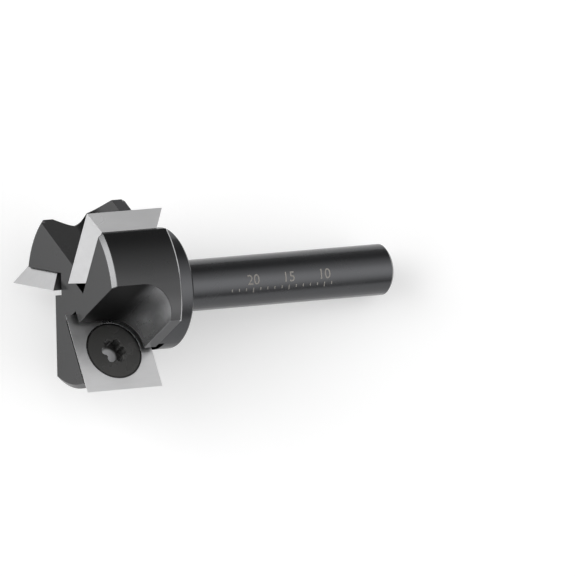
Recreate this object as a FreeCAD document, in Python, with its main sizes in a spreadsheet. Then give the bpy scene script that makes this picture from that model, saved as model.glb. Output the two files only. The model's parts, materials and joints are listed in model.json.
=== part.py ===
"""Surfacing router bit with three square indexable inserts, lying as it comes to rest.

Every piece is built about the tool axis: Z runs from the tips towards the shank end, X runs out along
the first tooth, and that tooth cuts towards -Y. The last step turns the finished tool onto the floor,
with +Z up and the origin on the tool axis, where the shank leaves the collar.
"""
import FreeCAD, Part
import os
import Sketcher
from FreeCAD import Placement, Rotation, Vector

# Driving dimensions in millimetres.
SIZES = {
    "tooth_count": 3,
    "cut_radius": 12.7,
    "overall_length": 45.0,
    "shank_radius": 3.175,
    "shank_chamfer": 0.4,
    "collar_radius": 7.45,
    "collar_back": 14.35,
    "collar_chamfer": 0.25,
    "head_radius": 11.4,
    "head_front": 1.07,
    "head_back": 10.55,
    "front_chamfer": 0.5,
    "back_chamfer": 0.25,
    "rake_offset": 0.5,
    "insert_side": 10.4,
    "insert_thickness": 2.1,
    "insert_relief": 1.4,
    "slot_front_gap": 0.8,
    "slot_inner_gap": 0.1,
    "slot_rear_gap": 1.5,
    "shelf_height": 7.8,
    "screw_head_radius": 3.65,
    "screw_rim": 0.25,
    "screw_shank_radius": 1.9,
    "screw_length": 4.6,
    "screw_tip_chamfer": 0.4,
    "screw_clearance": 0.05,
    "screw_hole_spare": 0.4,
    "notch_radius": 2.3,
    "notch_depth": 2.1,
    "gullet_clearance": 0.1,
    "recess_core_radius": 1.25,
    "recess_lobe_radius": 0.5,
    "recess_outer_radius": 1.68,
    "recess_depth": 1.8,
    "recess_lobe_count": 6,
}

# Sizes worked out from the driving ones, written as the sheet writes them.
TIP_REACH = "sqrt(Sizes.cut_radius ^ 2 - Sizes.rake_offset ^ 2)"
SCREW_REACH = f"({TIP_REACH} - Sizes.insert_side / 2)"
SCREW_HEIGHT = "(Sizes.insert_side / 2)"
GULLET_RADIUS = "(Sizes.screw_head_radius + Sizes.gullet_clearance)"
SLOT_INNER = f"({TIP_REACH} - Sizes.insert_side - Sizes.slot_inner_gap)"
SLOT_END = "(Sizes.insert_side + Sizes.slot_rear_gap)"
SEAT_OFFSET = "(Sizes.rake_offset + Sizes.insert_thickness)"
WEB_OFFSET = "(Sizes.slot_front_gap - Sizes.rake_offset)"
OUTSIDE = "(Sizes.cut_radius * 1.2)"
BELOW = "(-Sizes.cut_radius * 0.2)"
HEAD_CONE = "(Sizes.screw_head_radius - Sizes.screw_shank_radius)"
FLOOR_REACH = f"({SCREW_REACH} - {GULLET_RADIUS})"
NOTCH_BOTTOM = "(Sizes.head_radius - Sizes.notch_depth)"
NOTCH_ANGLE = f"720 deg / Sizes.tooth_count - acos({FLOOR_REACH} / Sizes.head_radius)"

# Points of a sketch: a line's two ends, an arc's or circle's centre, and the sketch's own origin.
START, END, CENTRE = range(1, 4)
ORIGIN = (-1, 1)
HORIZONTAL_AXIS, VERTICAL_AXIS = -1, -2

# Degrees that the screws are turned in, from a recess lobe pointing straight out.
SCREW_TURN = 28

# Rounds in which the resting plane settles onto the shank's end circle.
SWING_STEPS = 40

doc = FreeCAD.newDocument("SurfacingBit")


def make_sheet():
    sheet = doc.addObject("Spreadsheet::Sheet", "Sizes")
    for row, (name, value) in enumerate(SIZES.items(), start=1):
        sheet.set(f"A{row}", name)
        sheet.set(f"B{row}", str(value))
        sheet.setAlias(f"B{row}", name)
    doc.recompute()
    return sheet


def origin_feature(body, role):
    return next(item for item in body.Origin.OriginFeatures if item.Role == role)


def make_body(name):
    body = doc.addObject("PartDesign::Body", name)
    body.Label = name
    return body


def make_sketch(body, name, role, offset="0"):
    """A sketch on one of the body's own planes, moved along the plane's normal by an expression."""
    sketch = body.newObject("Sketcher::SketchObject", name)
    sketch.AttachmentSupport = [(origin_feature(body, role), "")]
    sketch.MapMode = "FlatFace"
    sketch.setExpression("AttachmentOffset.Base.z", offset)
    return sketch


def evaluate(expression):
    return float(doc.getObject("Sizes").evalExpression(expression))


def pin_point(sketch, geometry, point, across, along):
    """Hold one point of a sketch at a place given by two expressions, where "0" lies on an axis."""
    for kind, axis, expression in (("DistanceX", VERTICAL_AXIS, across), ("DistanceY", HORIZONTAL_AXIS, along)):
        if expression == "0":
            sketch.addConstraint(Sketcher.Constraint("PointOnObject", geometry, point, axis))
            continue
        index = sketch.addConstraint(
            Sketcher.Constraint(kind, *ORIGIN, geometry, point, evaluate(expression)))
        sketch.setExpression(f"Constraints[{index}]", expression)


def add_outline(sketch, corners):
    """A closed outline of straight lines through corners, each a pair of expressions."""
    places = [Vector(evaluate(across), evaluate(along), 0) for across, along in corners]
    count = len(corners)
    for index in range(count):
        sketch.addGeometry(Part.LineSegment(places[index], places[(index + 1) % count]))
    for index in range(count):
        sketch.addConstraint(Sketcher.Constraint("Coincident", index, END, (index + 1) % count, START))
        pin_point(sketch, index, START, *corners[index])


def add_circle(sketch, across, along, radius):
    centre = Vector(evaluate(across), evaluate(along), 0)
    circle = sketch.addGeometry(Part.Circle(centre, Vector(0, 0, 1), evaluate(radius)))
    pin_point(sketch, circle, CENTRE, across, along)
    index = sketch.addConstraint(Sketcher.Constraint("Radius", circle, evaluate(radius)))
    sketch.setExpression(f"Constraints[{index}]", radius)


def own_axis(body, role):
    return origin_feature(body, role), [""]


def revolve(body, kind, name, sketch, axis):
    """A full turn of a sketch about an axis: a Revolution or a Groove."""
    feature = body.newObject(f"PartDesign::{kind}", name)
    feature.Profile = sketch
    feature.ReferenceAxis = axis
    feature.Angle = 360
    body.Tip = feature
    return feature


def cut_straight(body, name, sketch, depth, along_normal=False):
    feature = body.newObject("PartDesign::Pocket", name)
    feature.Profile = sketch
    feature.Type = 0
    feature.Reversed = along_normal
    feature.setExpression("Length", depth)
    body.Tip = feature
    return feature


def repeat_round(body, name, features, count):
    pattern = body.newObject("PartDesign::PolarPattern", name)
    pattern.Originals = features
    pattern.Axis = own_axis(body, "Z_Axis")
    pattern.Angle = 360
    pattern.setExpression("Occurrences", count)
    body.Tip = pattern
    return pattern


def check_cut(body, before, name):
    """Stop if a cut has removed nothing."""
    doc.recompute()
    if body.Shape.Volume > before - 0.5:
        raise RuntimeError(f"{name} cuts nothing")
    return body.Shape.Volume


def add_turned_blank(body):
    """Head, collar and shank, turned from one bar."""
    sketch = make_sketch(body, "TurnedProfile", "XZ_Plane")
    add_outline(sketch, [
        ("0", "Sizes.head_front"),
        ("Sizes.head_radius - Sizes.front_chamfer", "Sizes.head_front"),
        ("Sizes.head_radius", "Sizes.head_front + Sizes.front_chamfer"),
        ("Sizes.head_radius", "Sizes.head_back - Sizes.back_chamfer"),
        ("Sizes.head_radius - Sizes.back_chamfer", "Sizes.head_back"),
        ("Sizes.collar_radius", "Sizes.head_back"),
        ("Sizes.collar_radius", "Sizes.collar_back - Sizes.collar_chamfer"),
        ("Sizes.collar_radius - Sizes.collar_chamfer", "Sizes.collar_back"),
        ("Sizes.shank_radius", "Sizes.collar_back"),
        ("Sizes.shank_radius", "Sizes.overall_length - Sizes.shank_chamfer"),
        ("Sizes.shank_radius - Sizes.shank_chamfer", "Sizes.overall_length"),
        ("0", "Sizes.overall_length"),
    ])
    revolve(body, "Revolution", "TurnedBlank", sketch, own_axis(body, "Z_Axis"))


def add_gullet(body):
    """Chip space ahead of a tooth: a flat floor, an arc round the screw head and a flat shelf behind it."""
    sketch = make_sketch(body, "GulletProfile", "XZ_Plane", WEB_OFFSET)
    reach, height, radius = evaluate(SCREW_REACH), evaluate(SCREW_HEIGHT), evaluate(GULLET_RADIUS)
    shelf, back = evaluate("Sizes.shelf_height"), evaluate("Sizes.head_back")
    outside, below = evaluate(OUTSIDE), evaluate(BELOW)
    centre = Vector(reach, height, 0)
    floor_end = Vector(reach - radius, height, 0)
    arc_end = Vector(shelf, height + (radius ** 2 - (shelf - reach) ** 2) ** 0.5, 0)
    circle = Part.Circle(centre, Vector(0, 0, 1), radius)
    arc = sketch.addGeometry(Part.ArcOfCircle(circle, circle.parameter(arc_end), circle.parameter(floor_end)))
    corners = [arc_end, Vector(shelf, back, 0), Vector(outside, back, 0), Vector(outside, below, 0),
               Vector(reach - radius, below, 0), floor_end]
    lines = [sketch.addGeometry(Part.LineSegment(near, far)) for near, far in zip(corners, corners[1:])]
    for near, far in zip(lines, lines[1:]):
        sketch.addConstraint(Sketcher.Constraint("Coincident", near, END, far, START))
    sketch.addConstraint(Sketcher.Constraint("Coincident", arc, START, lines[0], START))
    sketch.addConstraint(Sketcher.Constraint("Coincident", arc, END, lines[-1], END))
    sketch.addConstraint(Sketcher.Constraint("Horizontal", arc, CENTRE, arc, END))
    sketch.addConstraint(Sketcher.Constraint("Vertical", lines[0]))
    sketch.addConstraint(Sketcher.Constraint("Vertical", lines[-1]))
    sketch.addConstraint(Sketcher.Constraint("Horizontal", lines[-2]))
    index = sketch.addConstraint(Sketcher.Constraint("Radius", arc, radius))
    sketch.setExpression(f"Constraints[{index}]", GULLET_RADIUS)
    pin_point(sketch, arc, CENTRE, SCREW_REACH, SCREW_HEIGHT)
    pin_point(sketch, lines[1], START, "Sizes.shelf_height", "Sizes.head_back")
    pin_point(sketch, lines[2], START, OUTSIDE, "Sizes.head_back")
    pin_point(sketch, lines[3], START, OUTSIDE, BELOW)
    return cut_straight(body, "Gullet", sketch, OUTSIDE, along_normal=True)


def add_insert_slot(body):
    """Slot for one insert, closed behind its back face, at its inner side and behind its rear side."""
    sketch = make_sketch(body, "SlotProfile", "XZ_Plane", WEB_OFFSET)
    add_outline(sketch, [(SLOT_INNER, BELOW), (OUTSIDE, BELOW), (OUTSIDE, SLOT_END), (SLOT_INNER, SLOT_END)])
    return cut_straight(body, "InsertSlot", sketch, "Sizes.slot_front_gap + Sizes.insert_thickness")


def add_screw_hole(body):
    """Blind hole in the seat behind the insert."""
    sketch = make_sketch(body, "ScrewHoleProfile", "XZ_Plane", f"-{SEAT_OFFSET}")
    add_circle(sketch, SCREW_REACH, SCREW_HEIGHT, "Sizes.screw_shank_radius + Sizes.screw_clearance")
    depth = "Sizes.screw_length - Sizes.insert_thickness + Sizes.screw_hole_spare"
    return cut_straight(body, "ScrewHole", sketch, depth)


def add_edge_notch(body):
    """Conical notch in the far edge of the second tooth's wing, level with the screws."""
    sketch = make_sketch(body, "NotchProfile", "XZ_Plane")
    sketch.AttachmentOffset = Placement(Vector(), Rotation(Vector(0, 1, 0), evaluate(NOTCH_ANGLE)))
    sketch.setExpression("AttachmentOffset.Rotation.Angle", NOTCH_ANGLE)
    sketch.setExpression("AttachmentOffset.Base.y", SCREW_HEIGHT)
    widest = f"({OUTSIDE} - {NOTCH_BOTTOM}) * Sizes.notch_radius / Sizes.notch_depth"
    add_outline(sketch, [(NOTCH_BOTTOM, "0"), (OUTSIDE, "0"), (OUTSIDE, widest)])
    revolve(body, "Groove", "EdgeNotch", sketch, (sketch, ["H_Axis"]))


def make_cutter_body():
    body = make_body("cutter_body")
    add_turned_blank(body)
    doc.recompute()
    volume = body.Shape.Volume
    cuts = []
    for add_cut in (add_gullet, add_insert_slot, add_screw_hole):
        cuts.append(add_cut(body))
        volume = check_cut(body, volume, cuts[-1].Name)
    repeat_round(body, "Teeth", cuts, "Sizes.tooth_count")
    volume = check_cut(body, volume, "Teeth")
    add_edge_notch(body)
    check_cut(body, volume, "EdgeNotch")
    return body


def make_insert(number):
    """Square insert about its own centre: the rake face lies in the XZ plane and the back face at +Y."""
    body = make_body(f"carbide_insert_{number}")
    block = body.newObject("PartDesign::AdditiveWedge", f"InsertBlock{number}")
    half, back_half = "Sizes.insert_side / 2", "(Sizes.insert_side / 2 - Sizes.insert_relief)"
    spans = {"Ymin": "0", "Ymax": "Sizes.insert_thickness"}
    for axis in "XZ":
        spans.update({f"{axis}min": f"-{half}", f"{axis}max": half,
                      f"{axis}2min": f"-{back_half}", f"{axis}2max": back_half})
    for name, expression in spans.items():
        block.setExpression(name, expression)
    body.Tip = block
    doc.recompute()
    volume = body.Shape.Volume
    sketch = make_sketch(body, f"InsertHoleProfile{number}", "XY_Plane")
    add_outline(sketch, [
        ("0", "0"),
        ("Sizes.screw_head_radius + Sizes.screw_clearance", "0"),
        ("Sizes.screw_head_radius + Sizes.screw_clearance", "Sizes.screw_rim"),
        ("Sizes.screw_shank_radius + Sizes.screw_clearance", f"Sizes.screw_rim + {HEAD_CONE}"),
        ("Sizes.screw_shank_radius + Sizes.screw_clearance", "Sizes.insert_thickness"),
        ("0", "Sizes.insert_thickness"),
    ])
    revolve(body, "Groove", f"InsertHole{number}", sketch, own_axis(body, "Y_Axis"))
    check_cut(body, volume, "InsertHole")
    return body


def make_screw(number):
    """Countersunk screw: its flat top lies in the XY plane and its shank points down."""
    body = make_body(f"insert_screw_{number}")
    sketch = make_sketch(body, f"ScrewProfile{number}", "XZ_Plane")
    add_outline(sketch, [
        ("0", "0"),
        ("Sizes.screw_head_radius", "0"),
        ("Sizes.screw_head_radius", "-Sizes.screw_rim"),
        ("Sizes.screw_shank_radius", f"-(Sizes.screw_rim + {HEAD_CONE})"),
        ("Sizes.screw_shank_radius", "-(Sizes.screw_length - Sizes.screw_tip_chamfer)"),
        ("Sizes.screw_shank_radius - Sizes.screw_tip_chamfer", "-Sizes.screw_length"),
        ("0", "-Sizes.screw_length"),
    ])
    revolve(body, "Revolution", f"ScrewBlank{number}", sketch, own_axis(body, "Z_Axis"))
    doc.recompute()
    volume = body.Shape.Volume
    core = make_sketch(body, f"RecessCoreProfile{number}", "XY_Plane")
    add_circle(core, "0", "0", "Sizes.recess_core_radius")
    cut_straight(body, f"RecessCore{number}", core, "Sizes.recess_depth")
    volume = check_cut(body, volume, "RecessCore")
    lobe = make_sketch(body, f"RecessLobeProfile{number}", "XY_Plane")
    add_circle(lobe, "Sizes.recess_outer_radius - Sizes.recess_lobe_radius", "0", "Sizes.recess_lobe_radius")
    cut = cut_straight(body, f"RecessLobe{number}", lobe, "Sizes.recess_depth")
    repeat_round(body, f"RecessLobes{number}", [cut], "Sizes.recess_lobe_count")
    check_cut(body, volume, "RecessLobes")
    return body


def around(angle):
    return Placement(Vector(), Rotation(Vector(0, 0, 1), angle))


def resting_placement():
    """Turn the tool onto a wing's trailing corner, the next insert's rear corner and the shank's end.

    The plane through the two corners is swung until it touches the shank's end circle. That plane becomes
    level, the tool axis lies over X, and the root of the shank becomes the origin.
    """
    next_tooth = around(360 / SIZES["tooth_count"])
    shelf, head_radius = SIZES["shelf_height"], SIZES["head_radius"]
    corner_height = SIZES["head_back"] - SIZES["back_chamfer"]
    corner = Vector(shelf, -(head_radius ** 2 - shelf ** 2) ** 0.5, corner_height)
    wing = next_tooth.multVec(corner)
    tip = next_tooth.multVec(Vector(evaluate(TIP_REACH), SIZES["rake_offset"], SIZES["insert_side"]))
    shank_end = Vector(0, 0, SIZES["overall_length"] - SIZES["shank_chamfer"])
    down = Vector(wing.x + tip.x, wing.y + tip.y, 0)
    for _ in range(SWING_STEPS):
        foot = shank_end + Vector(down.x, down.y, 0).normalize() * SIZES["shank_radius"]
        down = (wing - foot).cross(tip - foot).normalize()
    axis = Vector(0, 0, 1)
    level = axis - down * axis.dot(down)
    turn = Rotation(level, level.cross(down), down * -1, "ZXY").inverted()
    root = Vector(0, 0, SIZES["collar_back"])
    return Placement(Vector(), turn) * Placement(root * -1, Rotation())


def seat_placements(number):
    """Places of one insert and of its screw about the tool axis."""
    turn = around(360 / SIZES["tooth_count"] * (number - 1))
    centre = Vector(evaluate(SCREW_REACH), SIZES["rake_offset"], evaluate(SCREW_HEIGHT))
    insert = turn * Placement(centre, Rotation())
    screw = turn * Placement(centre, Rotation(Vector(1, 0, 0), 90)) * around(SCREW_TURN)
    return insert, screw


def check_document(pieces):
    for item in doc.Objects:
        if "Invalid" in item.State or "Error" in item.State:
            raise RuntimeError(f"{item.Label} failed: {item.State}")
    for piece in pieces:
        if piece.Shape.isNull() or not piece.Shape.isValid() or len(piece.Shape.Solids) != 1:
            raise RuntimeError(f"{piece.Label} has no sound solid")


def main():
    make_sheet()
    resting = resting_placement()
    cutter = make_cutter_body()
    cutter.Placement = resting
    pieces = [cutter]
    for number in range(1, SIZES["tooth_count"] + 1):
        insert, screw = make_insert(number), make_screw(number)
        insert_place, screw_place = seat_placements(number)
        insert.Placement = resting * insert_place
        screw.Placement = resting * screw_place
        pieces += [insert, screw]
    doc.recompute()
    check_document(pieces)
    os.makedirs("parts", exist_ok=True)
    for piece in pieces:
        piece.Shape.exportStep(f"parts/{piece.Label}.step")
        print(piece.Label, round(piece.Shape.Volume, 2), piece.Shape.BoundBox)


main()
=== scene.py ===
"""Surfacing router bit lying on a pale floor, seen past its cutting end."""
import json
import math

import bmesh
import bpy
from mathutils import Matrix, Vector


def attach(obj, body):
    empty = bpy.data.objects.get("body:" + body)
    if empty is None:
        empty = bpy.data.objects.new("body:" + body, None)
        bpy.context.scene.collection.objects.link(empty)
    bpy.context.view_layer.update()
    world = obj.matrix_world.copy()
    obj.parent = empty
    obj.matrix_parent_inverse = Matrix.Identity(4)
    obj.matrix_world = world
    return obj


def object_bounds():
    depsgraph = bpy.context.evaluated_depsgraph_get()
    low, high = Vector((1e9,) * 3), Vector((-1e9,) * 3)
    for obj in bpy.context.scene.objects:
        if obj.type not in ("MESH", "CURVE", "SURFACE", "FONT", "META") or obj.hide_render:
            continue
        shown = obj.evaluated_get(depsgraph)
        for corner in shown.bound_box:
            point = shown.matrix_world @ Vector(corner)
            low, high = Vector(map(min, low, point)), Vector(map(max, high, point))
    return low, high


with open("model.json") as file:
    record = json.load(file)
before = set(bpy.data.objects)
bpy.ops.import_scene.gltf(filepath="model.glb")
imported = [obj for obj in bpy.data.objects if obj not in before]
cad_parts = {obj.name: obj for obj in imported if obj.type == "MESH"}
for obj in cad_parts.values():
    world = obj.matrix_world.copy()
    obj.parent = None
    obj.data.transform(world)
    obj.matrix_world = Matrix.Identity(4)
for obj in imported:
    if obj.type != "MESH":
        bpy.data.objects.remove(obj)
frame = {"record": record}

MM = 0.001
TEETH = (1, 2, 3)

# The view: a square picture, in pixels, and where the photograph shows the tool in it.
PICTURE_SIZE = 576
PIXELS_PER_MM = 8.2
TIPS_CENTRE_PIXEL = (62.3, 296.5)
AXIS_AWAY = math.radians(29.08)
FIRST_TOOTH_TURN = math.radians(67.62)
CAMERA_ROLL = math.radians(-4.905)
CAMERA_DISTANCE = 1.6
SENSOR_WIDTH = 36.0
FARTHEST_SEEN = 20.0

# Sizes of the tool that the frame doesn't name.
TIPS_TO_SHANK_ROOT = 14.35 * MM
SHANK_LENGTH = 30.65 * MM
SHANK_RADIUS = frame["record"]["mounts"][0]["dims"]["r_mm"] * MM

# Bounds of the paler and darker places. In each pair a place starts to show at the first distance and shows
# in full at the second. First those behind the tips of the teeth.
FRONT_FACE = (1.12 * MM, 1.09 * MM)
# Where the painted shade in the gullets starts and ends.
GULLET_SHADE_START = (1.12 * MM, 1.17 * MM)
GULLET_SHADE_END = (7.5 * MM, 5.0 * MM)
CHAMFER_END = (1.64 * MM, 1.6 * MM)
LIT_REAR_START = (6.0 * MM, 8.7 * MM)
LIT_REAR_END = (9.0 * MM, 8.95 * MM)
BACK_EDGE_START = (10.27 * MM, 10.29 * MM)
BACK_EDGE_END = (10.59 * MM, 10.57 * MM)
SLOT_END = (12.05 * MM, 12.0 * MM)
SHANK_ROOT = (14.4 * MM, 14.35 * MM)

# Off the tool axis.
CHAMFER_INSIDE = (10.84 * MM, 10.88 * MM)
BACK_EDGE_INSIDE = (11.08 * MM, 11.12 * MM)
HEAD_INSIDE = (11.38 * MM, 11.33 * MM)
HEAD_OUTSIDE = (11.33 * MM, 11.38 * MM)

# Outward along a rake face from the tool axis, and over that face, where a negative distance is below it.
SLOT_INSIDE = (2.05 * MM, 2.1 * MM)
OVER_RAKE = (0.2 * MM, 0.5 * MM)
LIT_OUTSIDE = (11.0 * MM, 9.4 * MM)
RAKE_FACE = (-0.03 * MM, -0.01 * MM)
SEAT_TOP = (-2.02 * MM, -2.04 * MM)
SEAT_BOTTOM = (-2.13 * MM, -2.11 * MM)
RECESS_BOTTOM = (-1.7 * MM, -1.76 * MM)

# Off a screw's axis.
SCREW_RIM = (3.42 * MM, 3.5 * MM)
RECESS_SPOT = (1.25 * MM, 0.8 * MM)

# How pale each of these places is, from 0 for black to 1 for white, and how a tone is made a little bluish.
NEARLY_NEUTRAL = (1, 1.005, 1.02)
FRONT_TONE = 0.068
OUTSIDE_TONE = 0.047
# Painted light on the head's outside beside the first gullet.
LIT_OUTSIDE_TONE = 0.088
# Painted shade in the gullets.
GULLET_SHADE_TONE = 0.028
# Deeper painted shade in the first gullet.
DEEPEST_SHADE_TONE = 0.018
# Painted light on the gullets' rear walls.
LIT_REAR_TONE = 0.07
# Painted highlight on the first gullet's rear wall.
REAR_HIGHLIGHT_TONE = 0.42
# Painted highlight on the front chamfers of the head.
CHAMFER_HIGHLIGHT_TONE = 0.145
# Painted highlight on the back edges of the head.
BACK_EDGE_HIGHLIGHT_TONE = 0.65
# Painted shade on the seats under the inserts.
SEAT_SHADE_TONE = 0.004
# Painted shade round the rims of the screw heads.
SCREW_RIM_SHADE_TONE = 0.006
# Painted light on the bottoms of the screws' recesses.
RECESS_LIGHT_TONE = 0.78

# The two colours that each material varies between.
STEEL_COLOURS = ((0.060, 0.061, 0.064), (0.067, 0.068, 0.072))
SCREW_COLOURS = ((0.045, 0.045, 0.044), (0.056, 0.055, 0.052))
FLANK_COLOURS = ((0.50, 0.50, 0.505), (0.57, 0.57, 0.575))
RAKE_COLOURS = ((0.80, 0.80, 0.805), (0.88, 0.88, 0.885))
ETCHING_COLOURS = ((0.25, 0.235, 0.215), (0.35, 0.33, 0.305))
FLOOR_COLOURS = ((0.67, 0.67, 0.67), (0.68, 0.68, 0.68))

# Roughness from the smoother to the rougher places, and what it gains in the deepest painted shade.
STEEL_ROUGHNESS = (0.23, 0.28)
DEEPEST_SHADE_ROUGHNESS = 0.25
SCREW_ROUGHNESS = (0.24, 0.32)
CARBIDE_ROUGHNESS = (0.27, 0.36)

# The steel's coat where it is neither in the deepest painted shade nor outside, and the tint of its shine at
# grazing angles.
STEEL_COAT = 0.25
SHANK_SHEEN = (1.0, 1.0, 1.0)
HEAD_SHEEN = (0.6, 0.6, 0.6)

# Noises: scale, detail and, where one is drawn out, by how much its coordinates are multiplied.
CLOUD = (260, 3)
GRAIN = (900, 4, (7, 1, 1))
GRINDING_MARKS = (1500, 3, (0.05, 1, 1))
CARBIDE_CLOUD = (150, 2)
ETCHING_SPECKLE = (2600, 2)
FLOOR_CLOUD = (40, 3)
NOISE_SPREAD = (0.3, 0.7)

# Fine relief: the radius of rounded edges, and the strength and depth of the grain.
STEEL_RELIEF = (0.1 * MM, 0.05, 0.02 * MM)
SCREW_RELIEF = (0.12 * MM, 0.05, 0.02 * MM)
CARBIDE_RELIEF = (0.03 * MM, 0.08, 0.01 * MM)
BEVEL_SAMPLES = 6

# The depth scale on the shank, with numbers and ticks at whole millimetres from its free end.
SCALE_NUMBERS = (10, 15, 20)
SCALE_TICKS = range(9, 24)
SCALE_LETTER_HEIGHT = 1.25 * MM
CAPITALS_IN_LETTER_SIZE = 0.7
SCALE_TICK_TOP = -0.75 * SCALE_LETTER_HEIGHT
SCALE_TICK_LONG = 0.62 * MM
SCALE_TICK_SHORT = 0.36 * MM
SCALE_TICK_WIDTH = 0.13 * MM
SCALE_PROUD = 0.012 * MM
SCALE_STRIP = 0.12 * MM

FLOOR_SIZE = 6.0
FLOOR_GLOW = 0.41

# The sky's soft lights: azimuth and elevation in degrees, how sharply each fades outward, and its strength.
SKY_LIGHTS = (
    (180, 8, 8, 5.4),
    (145, 35, 30, 3.6),
    (176, 42, 30, 2.8),
    (-45, 40, 8, 1.9),
    (-10, 47, 20, 0.85),
    (24, 44, 30, 0.57),
    (55, 5, 6, 0.27),
    (0, 90, 12, 1.0),
)

cad_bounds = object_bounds()


# Where the tool lies.

def widest_face_normal(node):
    """The direction in which the largest flat face of a node looks."""
    areas = {}
    for face in bpy.data.objects[node].data.polygons:
        normal = tuple(round(value, 3) for value in face.normal)
        areas[normal] = areas.get(normal, 0) + face.area
    return Vector(max(areas, key=areas.get)).normalized()


def rake_face(tooth):
    """Which way an insert's rake face looks, and its middle."""
    node = f"carbide_insert_{tooth}"
    outward = widest_face_normal(node)
    places = [vertex.co for vertex in bpy.data.objects[node].data.vertices]
    level = max(place.dot(outward) for place in places)
    corners = [place for place in places if place.dot(outward) > level - 0.01 * MM]
    return outward, sum(corners, Vector()) / len(corners)


def tool_axes():
    """The tool's own axes in the row frame: the tool axis, the first tooth outward and behind that tooth."""
    axis = Vector(frame["record"]["mounts"][0]["axis"]).normalized()
    behind = -widest_face_normal("carbide_insert_1")
    first_tooth = behind.cross(axis).normalized()
    return axis, first_tooth, axis.cross(first_tooth)


# Nodes that the materials and the sky are built from.

def add_maths(tree, operation, first, second):
    maths = tree.nodes.new("ShaderNodeMath")
    maths.operation = operation
    for socket, value in zip(maths.inputs, (first, second)):
        if isinstance(value, (int, float)):
            socket.default_value = value
        else:
            tree.links.new(value, socket)
    return maths.outputs["Value"]


def add_vector_maths(tree, operation, first, second=(0, 0, 0)):
    maths = tree.nodes.new("ShaderNodeVectorMath")
    maths.operation = operation
    maths.inputs[1].default_value = second
    tree.links.new(first, maths.inputs[0])
    return maths.outputs["Value" if operation in ("DOT_PRODUCT", "LENGTH") else "Vector"]


def add_noise(tree, place, scale, detail, stretch=(1, 1, 1)):
    mapping = tree.nodes.new("ShaderNodeMapping")
    mapping.inputs["Scale"].default_value = stretch
    noise = tree.nodes.new("ShaderNodeTexNoise")
    noise.inputs["Scale"].default_value = scale
    noise.inputs["Detail"].default_value = detail
    tree.links.new(place, mapping.inputs["Vector"])
    tree.links.new(mapping.outputs["Vector"], noise.inputs["Vector"])
    return noise.outputs["Fac"]


def add_range(tree, value, start, end, low, high):
    """Turn a value that runs from start to end into one that runs from low to high."""
    span = tree.nodes.new("ShaderNodeMapRange")
    for name, bound in (("From Min", start), ("From Max", end), ("To Min", low), ("To Max", high)):
        span.inputs[name].default_value = bound
    tree.links.new(value, span.inputs["Value"])
    return span


def add_ramp(tree, noise, low, high):
    """Turn a noise, which keeps near its middle, into a number between two values."""
    return add_range(tree, noise, *NOISE_SPREAD, low, high).outputs["Result"]


def add_step(tree, value, start, end):
    """A smooth rise from 0 at start to 1 at end, or a fall where end is the lower one."""
    rises = start < end
    step = add_range(tree, value, min(start, end), max(start, end), float(not rises), float(rises))
    step.interpolation_type = "SMOOTHSTEP"
    return step.outputs["Result"]


def add_zone(tree, *limits):
    """1 inside every limit, each a value and where it starts to count and counts in full."""
    inside = 1.0
    for value, start, end in limits:
        inside = add_maths(tree, "MULTIPLY", add_step(tree, value, start, end), inside)
    return inside


def add_along(tree, place, axis, start=(0, 0, 0)):
    """How far a place lies from a start along an axis."""
    return add_vector_maths(tree, "DOT_PRODUCT", add_vector_maths(tree, "SUBTRACT", place, start), axis)


def add_off(tree, place, axis, start=(0, 0, 0)):
    """How far a place lies off an axis through a start."""
    across = add_vector_maths(tree, "CROSS_PRODUCT", add_vector_maths(tree, "SUBTRACT", place, start), axis)
    return add_vector_maths(tree, "LENGTH", across)


def add_rake_distances(tree, place, axis, tooth):
    """How far a place lies over an insert's rake face, and how far outward along it from the tool axis."""
    outward, centre = rake_face(tooth)
    return add_along(tree, place, outward, centre), add_along(tree, place, axis.cross(outward))


def add_colour(tree, factor, first, second):
    """A mix of two colours, each written out or taken from another node."""
    mix = tree.nodes.new("ShaderNodeMix")
    mix.data_type = "RGBA"
    for socket, colour in ((mix.inputs["A"], first), (mix.inputs["B"], second)):
        if isinstance(colour, tuple):
            socket.default_value = (*colour, 1)
        else:
            tree.links.new(colour, socket)
    tree.links.new(factor, mix.inputs["Factor"])
    return mix.outputs["Result"]


def add_tones(tree, colour, places):
    """Lay nearly neutral tones over a colour, each where its mask is 1."""
    for mask, tone in places:
        colour = add_colour(tree, mask, colour, tuple(tone * share for share in NEARLY_NEUTRAL))
    return colour


def add_relief(tree, shader, height, radius, strength, distance):
    """Fine relief over edges that are rounded by a small radius."""
    bevel = tree.nodes.new("ShaderNodeBevel")
    bevel.samples = BEVEL_SAMPLES
    bevel.inputs["Radius"].default_value = radius
    bump = tree.nodes.new("ShaderNodeBump")
    bump.inputs["Strength"].default_value = strength
    bump.inputs["Distance"].default_value = distance
    tree.links.new(height, bump.inputs["Height"])
    tree.links.new(bevel.outputs["Normal"], bump.inputs["Normal"])
    tree.links.new(bump.outputs["Normal"], shader.inputs["Normal"])


# Materials.

def new_material(name):
    """A new material with its node tree, its shader and the place of each point on the object."""
    material = bpy.data.materials.new(name)
    material.use_nodes = True
    tree = material.node_tree
    place = tree.nodes.new("ShaderNodeTexCoord").outputs["Object"]
    return material, tree, tree.nodes["Principled BSDF"], place


def add_seat(tree, place, behind, axis, tooth):
    """1 on the seat behind one insert, 0 elsewhere."""
    over, reach = add_rake_distances(tree, place, axis, tooth)
    return add_zone(tree, (over, *SEAT_TOP), (over, *SEAT_BOTTOM),
                    (reach, *SLOT_INSIDE), (behind, *SLOT_END))


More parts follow.
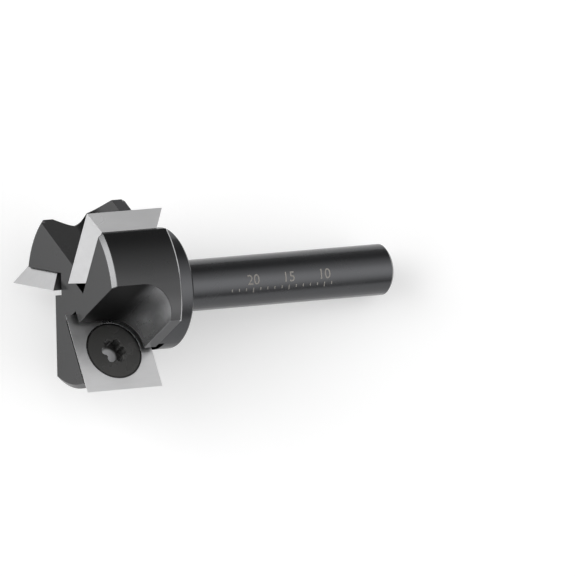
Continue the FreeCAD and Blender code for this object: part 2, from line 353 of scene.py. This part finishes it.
def add_steel_places(tree, place, behind, off, axis):
    """The steel's paler and darker places, mostly painted light and shade, with their tones, the head's
    outside and the deepest painted shade.
    """
    over, reach = add_rake_distances(tree, place, axis, 1)
    first_gullet = ((reach, *SLOT_INSIDE), (over, *OVER_RAKE))
    front = add_zone(tree, (behind, *FRONT_FACE))
    # Painted highlight: the front chamfer is made paler.
    chamfer = add_zone(tree, (behind, *CHAMFER_END), (off, *CHAMFER_INSIDE))
    # Painted highlight: the back edge is made very pale.
    back_edge = add_zone(tree, (behind, *BACK_EDGE_START), (behind, *BACK_EDGE_END),
                         (off, *BACK_EDGE_INSIDE))
    outside = add_zone(tree, (off, *HEAD_OUTSIDE))
    # Painted light: the outside beside the first gullet is made paler.
    lit_outside = add_zone(tree, (outside, 0, 1), (over, *LIT_OUTSIDE), *first_gullet)
    # Painted shade: the inner surfaces of the gullets are made darker.
    gullet_shade = add_zone(tree, (behind, *GULLET_SHADE_START), (behind, *GULLET_SHADE_END),
                     (off, *HEAD_INSIDE), (chamfer, 1, 0))
    # Deeper painted shade in the first gullet, which is also rougher and has no coat.
    deepest_shade = add_zone(tree, (gullet_shade, 0, 1), *first_gullet)
    # Painted light: the gullets' rear walls are made paler than the painted shade in front of them.
    lit_rear = add_zone(tree, (behind, *LIT_REAR_START), (behind, *LIT_REAR_END), (off, *HEAD_INSIDE))
    # Painted highlight: the first gullet's rear wall is made very pale.
    rear_highlight = add_zone(tree, (lit_rear, 0, 1), *first_gullet)
    places = [(front, FRONT_TONE), (outside, OUTSIDE_TONE), (lit_outside, LIT_OUTSIDE_TONE),
              (gullet_shade, GULLET_SHADE_TONE), (deepest_shade, DEEPEST_SHADE_TONE), (lit_rear, LIT_REAR_TONE),
              (rear_highlight, REAR_HIGHLIGHT_TONE), (chamfer, CHAMFER_HIGHLIGHT_TONE), (back_edge, BACK_EDGE_HIGHLIGHT_TONE)]
    # Painted shade: the seats are made nearly black, where a shadowed gap shows along each insert's edge.
    places += [(add_seat(tree, place, behind, axis, tooth), SEAT_SHADE_TONE) for tooth in TEETH]
    return places, outside, deepest_shade


def steel_material(axis):
    """Blackened steel, with painted shade in the gullets and on the seats, and painted light and highlights
    on the gullets' rear walls, beside the first gullet, on the chamfers and on the back edges.
    """
    material, tree, shader, place = new_material("blackened_steel")
    cloud = add_noise(tree, place, *CLOUD)
    behind = add_along(tree, place, axis, axis * -TIPS_TO_SHANK_ROOT)
    off = add_off(tree, place, axis)
    places, outside, deepest_shade = add_steel_places(tree, place, behind, off, axis)
    colour = add_tones(tree, add_colour(tree, cloud, *STEEL_COLOURS), places)
    coated = add_maths(tree, "SUBTRACT", 1.0, add_maths(tree, "MAXIMUM", deepest_shade, outside))
    coat = add_maths(tree, "MULTIPLY", coated, STEEL_COAT)
    on_head = add_zone(tree, (behind, *SHANK_ROOT))
    added_roughness = add_maths(tree, "MULTIPLY", deepest_shade, DEEPEST_SHADE_ROUGHNESS)
    roughness = add_maths(tree, "ADD", add_ramp(tree, cloud, *STEEL_ROUGHNESS), added_roughness)
    shader.inputs["Metallic"].default_value = 0.9
    shader.inputs["Coat Roughness"].default_value = 0.2
    tree.links.new(colour, shader.inputs["Base Color"])
    tree.links.new(add_colour(tree, on_head, SHANK_SHEEN, HEAD_SHEEN), shader.inputs["Specular Tint"])
    tree.links.new(coat, shader.inputs["Coat Weight"])
    tree.links.new(roughness, shader.inputs["Roughness"])
    add_relief(tree, shader, add_noise(tree, place, *GRAIN), *STEEL_RELIEF)
    return material


def screw_material(tooth):
    """Black screw steel, with painted shade on the rim and painted light on the bottom of the recess."""
    material, tree, shader, place = new_material(f"black_screw_{tooth}")
    cloud = add_noise(tree, place, *CLOUD)
    outward, centre = rake_face(tooth)
    over = add_along(tree, place, outward, centre)
    off = add_off(tree, place, outward, centre)
    # Painted shade on the rim of the screw head, where a shadowed gap shows.
    shaded_rim = add_zone(tree, (off, *SCREW_RIM))
    # Painted light: the bottom of the recess is made pale, as if lit.
    bottom = add_zone(tree, (over, *RECESS_BOTTOM), (off, *RECESS_SPOT))
    places = ((shaded_rim, SCREW_RIM_SHADE_TONE), (bottom, RECESS_LIGHT_TONE))
    colour = add_tones(tree, add_colour(tree, cloud, *SCREW_COLOURS), places)
    shader.inputs["Metallic"].default_value = 0.2
    tree.links.new(colour, shader.inputs["Base Color"])
    tree.links.new(add_ramp(tree, cloud, *SCREW_ROUGHNESS), shader.inputs["Roughness"])
    add_relief(tree, shader, add_noise(tree, place, *GRAIN), *SCREW_RELIEF)
    return material


def carbide_material(tooth):
    """Ground carbide: satin grey metal with faint straight grinding marks, paler on the rake face."""
    material, tree, shader, place = new_material(f"ground_carbide_{tooth}")
    marks = add_noise(tree, place, *GRINDING_MARKS)
    cloud = add_noise(tree, place, *CARBIDE_CLOUD)
    outward, centre = rake_face(tooth)
    rake = add_zone(tree, (add_along(tree, place, outward, centre), *RAKE_FACE))
    flank_colour = add_colour(tree, marks, *FLANK_COLOURS)
    rake_colour = add_colour(tree, marks, *RAKE_COLOURS)
    shader.inputs["Metallic"].default_value = 1.0
    tree.links.new(add_colour(tree, rake, flank_colour, rake_colour), shader.inputs["Base Color"])
    tree.links.new(add_ramp(tree, cloud, *CARBIDE_ROUGHNESS), shader.inputs["Roughness"])
    add_relief(tree, shader, marks, *CARBIDE_RELIEF)
    return material


def etching_material():
    """Laser etching: a dull warm grey in the blackened steel."""
    material, tree, shader, place = new_material("etching")
    speckle = add_noise(tree, place, *ETCHING_SPECKLE)
    shader.inputs["Metallic"].default_value = 0.2
    shader.inputs["Roughness"].default_value = 0.6
    tree.links.new(add_colour(tree, speckle, *ETCHING_COLOURS), shader.inputs["Base Color"])
    return material


def floor_material():
    """Pale floor that keeps the shadow, with some added white for the camera, metal and glass."""
    material, tree, shader, place = new_material("pale_floor")
    cloud = add_noise(tree, place, *FLOOR_CLOUD)
    path = tree.nodes.new("ShaderNodeLightPath")
    seen = path.outputs["Is Camera Ray"]
    for ray in ("Is Glossy Ray", "Is Transmission Ray"):
        seen = add_maths(tree, "MAXIMUM", seen, path.outputs[ray])
    shader.inputs["Roughness"].default_value = 0.9
    shader.inputs["Specular IOR Level"].default_value = 0.0
    shader.inputs["Emission Color"].default_value = (1, 1, 1, 1)
    tree.links.new(add_colour(tree, cloud, *FLOOR_COLOURS), shader.inputs["Base Color"])
    tree.links.new(add_maths(tree, "MULTIPLY", seen, FLOOR_GLOW), shader.inputs["Emission Strength"])
    return material


def dress(node, material):
    slots = bpy.data.objects[node].data.materials
    slots.clear()
    slots.append(material)


def dress_nodes(axis):
    dress("cutter_body", steel_material(axis))
    for tooth in TEETH:
        dress(f"carbide_insert_{tooth}", carbide_material(tooth))
        dress(f"insert_screw_{tooth}", screw_material(tooth))


# The depth scale etched on the shank.

def flat_text(text, centre_along):
    """A number's outline filled flat, centred at one place along the shank and across it."""
    curve = bpy.data.curves.new("number", "FONT")
    curve.body = text
    curve.size = SCALE_LETTER_HEIGHT / CAPITALS_IN_LETTER_SIZE
    curve.align_x = "CENTER"
    curve.align_y = "CENTER"
    holder = bpy.data.objects.new("number", curve)
    bpy.context.scene.collection.objects.link(holder)
    bpy.context.view_layer.update()
    mesh = bpy.data.meshes.new_from_object(holder)
    bpy.data.objects.remove(holder)
    mesh.transform(Matrix.Translation((centre_along, 0, 0)))
    return mesh


def add_tick(flat, along, length):
    left, right = along - SCALE_TICK_WIDTH / 2, along + SCALE_TICK_WIDTH / 2
    top, bottom = SCALE_TICK_TOP, SCALE_TICK_TOP - length
    corners = [(left, top), (right, top), (right, bottom), (left, bottom)]
    flat.faces.new([flat.verts.new((x, y, 0)) for x, y in corners])


def cut_into_strips(flat):
    """Cut the flat drawing across, so that it can bend round the shank."""
    lowest = min(vertex.co.y for vertex in flat.verts)
    highest = max(vertex.co.y for vertex in flat.verts)
    for step in range(1, int((highest - lowest) / SCALE_STRIP) + 1):
        bmesh.ops.bisect_plane(flat, geom=flat.verts[:] + flat.edges[:] + flat.faces[:],
                               plane_co=(0, lowest + step * SCALE_STRIP, 0), plane_no=(0, 1, 0))


def make_depth_scale(axis, toward_reader, material):
    """Numbers and ticks drawn flat, then wrapped round the shank on the side that faces the reader."""
    flat = bmesh.new()
    for number in SCALE_NUMBERS:
        flat.from_mesh(flat_text(str(number), SHANK_LENGTH - number * MM))
    for distance in SCALE_TICKS:
        length = SCALE_TICK_LONG if distance in SCALE_NUMBERS else SCALE_TICK_SHORT
        add_tick(flat, SHANK_LENGTH - distance * MM, length)
    cut_into_strips(flat)
    across = axis.cross(toward_reader).normalized()
    outward = across.cross(axis).normalized()
    radius = SHANK_RADIUS + SCALE_PROUD
    for vertex in flat.verts:
        turn = vertex.co.y / radius
        vertex.co = axis * vertex.co.x + (outward * math.cos(turn) - across * math.sin(turn)) * radius
    mesh = bpy.data.meshes.new("depth_scale")
    flat.to_mesh(mesh)
    flat.free()
    piece = bpy.data.objects.new("depth_scale", mesh)
    bpy.context.scene.collection.objects.link(piece)
    mesh.materials.append(material)
    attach(piece, "root")


# Camera, floor and sky.

def view_directions(axis, first_tooth, behind):
    """The camera's right, down and forward directions in the row frame."""
    toward = first_tooth * math.cos(FIRST_TOOTH_TURN) - behind * math.sin(FIRST_TOOTH_TURN)
    side = first_tooth * math.sin(FIRST_TOOTH_TURN) + behind * math.cos(FIRST_TOOTH_TURN)
    along = axis * math.cos(AXIS_AWAY) + toward * math.sin(AXIS_AWAY)
    forward = axis * math.sin(AXIS_AWAY) - toward * math.cos(AXIS_AWAY)
    right = along * math.cos(CAMERA_ROLL) - side * math.sin(CAMERA_ROLL)
    down = along * math.sin(CAMERA_ROLL) + side * math.cos(CAMERA_ROLL)
    return right, down, forward


def make_camera(axis, right, down, forward):
    """A camera that shows the middle of the tips where the photograph shows it."""
    data = bpy.data.cameras.new("camera")
    data.sensor_width = SENSOR_WIDTH
    data.lens = SENSOR_WIDTH * CAMERA_DISTANCE / (PICTURE_SIZE / PIXELS_PER_MM * MM)
    data.clip_end = FARTHEST_SEEN
    across, along = ((PICTURE_SIZE / 2 - pixel) / PIXELS_PER_MM * MM for pixel in TIPS_CENTRE_PIXEL)
    middle = axis * -TIPS_TO_SHANK_ROOT + right * across + down * along
    camera = bpy.data.objects.new("camera", data)
    turn = Matrix((right, -down, -forward)).transposed().to_4x4()
    camera.matrix_world = Matrix.Translation(middle - forward * CAMERA_DISTANCE) @ turn
    bpy.context.scene.collection.objects.link(camera)
    bpy.context.scene.camera = camera


def make_floor():
    """A square floor at the lowest point of the tool."""
    half = FLOOR_SIZE / 2
    corners = [(-half, -half, 0), (half, -half, 0), (half, half, 0), (-half, half, 0)]
    mesh = bpy.data.meshes.new("floor")
    mesh.from_pydata(corners, [], [(0, 1, 2, 3)])
    mesh.materials.append(floor_material())
    plane = bpy.data.objects.new("floor", mesh)
    plane.matrix_world = Matrix.Translation((0, 0, cad_bounds[0][2]))
    bpy.context.scene.collection.objects.link(plane)


def direction(azimuth, elevation):
    azimuth, elevation = math.radians(azimuth), math.radians(elevation)
    level = math.cos(elevation)
    return Vector((math.cos(azimuth) * level, math.sin(azimuth) * level, math.sin(elevation)))


def make_sky():
    """A dim sky with a few wide soft lights in it."""
    world = bpy.data.worlds.new("studio")
    world.use_nodes = True
    tree = world.node_tree
    background = tree.nodes["Background"]
    background.inputs["Color"].default_value = (1, 1, 1, 1)
    toward = tree.nodes.new("ShaderNodeTexCoord").outputs["Generated"]
    total = 0.0
    for azimuth, elevation, sharpness, strength in SKY_LIGHTS:
        facing = add_vector_maths(tree, "DOT_PRODUCT", toward, direction(azimuth, elevation))
        glow = add_maths(tree, "POWER", add_maths(tree, "MAXIMUM", facing, 0.0), sharpness)
        total = add_maths(tree, "ADD", add_maths(tree, "MULTIPLY", glow, strength), total)
    tree.links.new(total, background.inputs["Strength"])
    bpy.context.scene.world = world


def main():
    axis, first_tooth, behind = tool_axes()
    right, down, forward = view_directions(axis, first_tooth, behind)
    make_camera(axis, right, down, forward)
    dress_nodes(axis)
    make_depth_scale(axis, -forward, etching_material())
    make_floor()
    make_sky()
    scene = bpy.context.scene
    scene.view_settings.view_transform = "Standard"


main()
